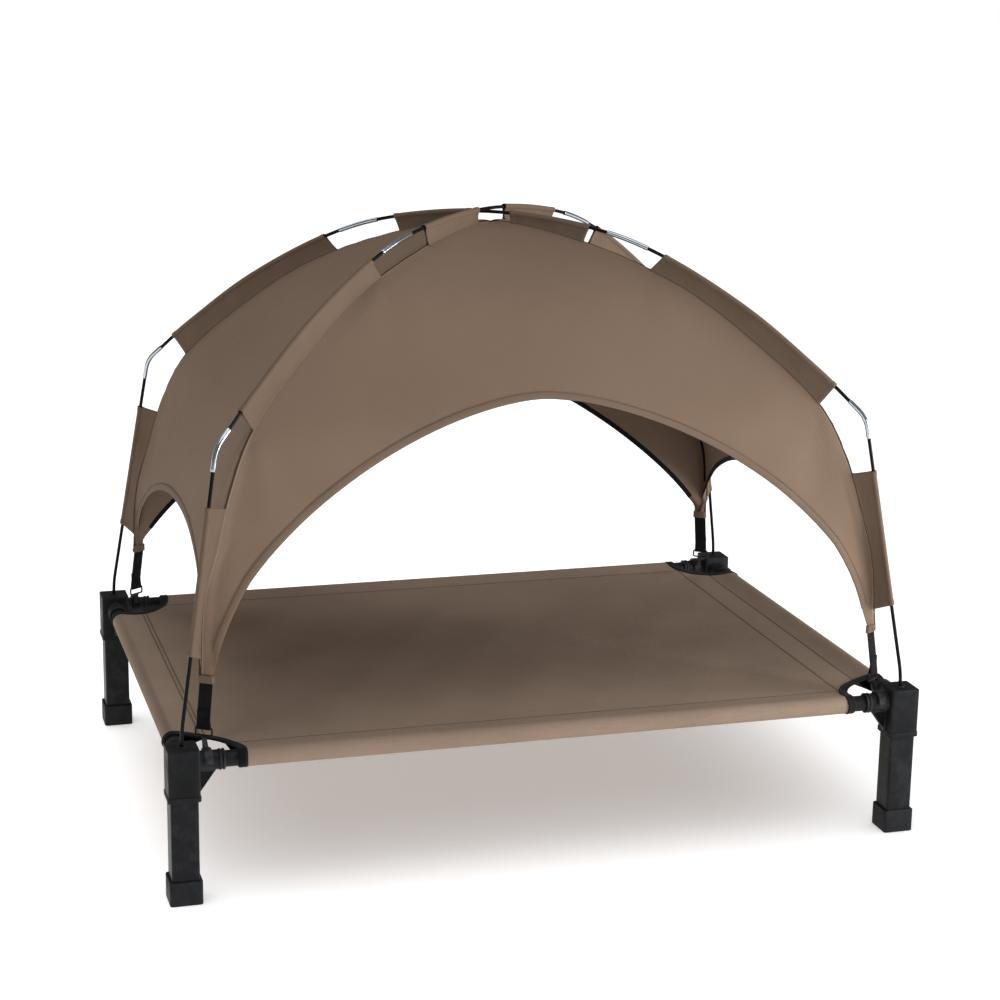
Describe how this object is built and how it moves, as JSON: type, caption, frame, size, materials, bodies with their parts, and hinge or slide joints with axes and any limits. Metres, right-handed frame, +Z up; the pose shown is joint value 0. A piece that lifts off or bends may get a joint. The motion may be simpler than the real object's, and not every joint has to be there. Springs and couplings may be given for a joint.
{
  "type": "dog bed with frame",
  "caption": "Raised dog cot: woven sheet on a tube frame with square plug-in legs, under a lift-off arched shade canopy on crossed poles.",
  "frame": {"origin": "on the floor, under the middle of the bed", "axes": "+X along the long side of the bed, +Y from the front side to the back side, +Z up"},
  "size_m": [1.067, 0.762, 0.8636],
  "materials": {
    "connector": "fine-grained black moulded plastic",
    "foot": "matte black moulded plastic",
    "leg": "satin black powder coat",
    "rail": "satin black powder coat",
    "bed_fabric": "taupe woven mesh with a fine twill",
    "canopy_fabric": "smooth taupe woven polyester",
    "binding": "black woven binding tape",
    "webbing": "black ribbed webbing",
    "rod": "black glass-fibre rod with a satin gloss",
    "bright_tube": "bright plated steel tube",
    "hook": "black moulded plastic"
  },
  "bodies": {
    "frame": {"corner_connector_front_left": "connector", "corner_connector_front_right": "connector", "corner_connector_back_right": "connector", "corner_connector_back_left": "connector", "rail_front": "rail", "rail_back": "rail", "rail_left": "rail", "rail_right": "rail", "bed_sheet": "bed_fabric"},
    "canopy": {"lower_rod_front_left": "rod", "middle_rod_front_left": "rod", "lower_rod_front_right": "rod", "middle_rod_front_right": "rod", "lower_rod_back_right": "rod", "middle_rod_back_right": "rod", "lower_rod_back_left": "rod", "middle_rod_back_left": "rod", "top_rod_upper": "rod", "top_rod_lower": "rod", "elbow_tube_front_left": "bright_tube", "ferrule_front_left": "bright_tube", "elbow_tube_front_right": "bright_tube", "ferrule_front_right": "bright_tube", "elbow_tube_back_right": "bright_tube", "ferrule_back_right": "bright_tube", "elbow_tube_back_left": "bright_tube", "ferrule_back_left": "bright_tube", "canopy_panel_front": "canopy_fabric", "canopy_panel_back": "canopy_fabric", "canopy_panel_left": "canopy_fabric", "canopy_panel_right": "canopy_fabric", "top_sleeve_front_left": "canopy_fabric", "middle_sleeve_front_left": "canopy_fabric", "lower_sleeve_front_left": "canopy_fabric", "strap_front_left": "webbing", "strap_hook_front_left": "hook", "top_sleeve_front_right": "canopy_fabric", "middle_sleeve_front_right": "canopy_fabric", "lower_sleeve_front_right": "canopy_fabric", "strap_front_right": "webbing", "strap_hook_front_right": "hook", "top_sleeve_back_right": "canopy_fabric", "middle_sleeve_back_right": "canopy_fabric", "lower_sleeve_back_right": "canopy_fabric", "strap_back_right": "webbing", "strap_hook_back_right": "hook", "top_sleeve_back_left": "canopy_fabric", "middle_sleeve_back_left": "canopy_fabric", "lower_sleeve_back_left": "canopy_fabric", "strap_back_left": "webbing", "strap_hook_back_left": "hook"},
    "leg_front_left": {"leg_front_left": "leg", "foot_cap_front_left": "foot"},
    "leg_front_right": {"leg_front_right": "leg", "foot_cap_front_right": "foot"},
    "leg_back_right": {"leg_back_right": "leg", "foot_cap_back_right": "foot"},
    "leg_back_left": {"leg_back_left": "leg", "foot_cap_back_left": "foot"}
  },
  "joints": [
    {"name": "canopy_lift", "type": "slide", "parent": "frame", "child": "canopy", "axis": [0, 0, 1], "range_m": [0, 0.12]},
    {"name": "leg_front_left_pull", "type": "slide", "parent": "frame", "child": "leg_front_left", "axis": [0, 0, -1], "range_m": [0, 0.045]},
    {"name": "leg_front_right_pull", "type": "slide", "parent": "frame", "child": "leg_front_right", "axis": [0, 0, -1], "range_m": [0, 0.045]},
    {"name": "leg_back_right_pull", "type": "slide", "parent": "frame", "child": "leg_back_right", "axis": [0, 0, -1], "range_m": [0, 0.045]},
    {"name": "leg_back_left_pull", "type": "slide", "parent": "frame", "child": "leg_back_left", "axis": [0, 0, -1], "range_m": [0, 0.045]}
  ]
}
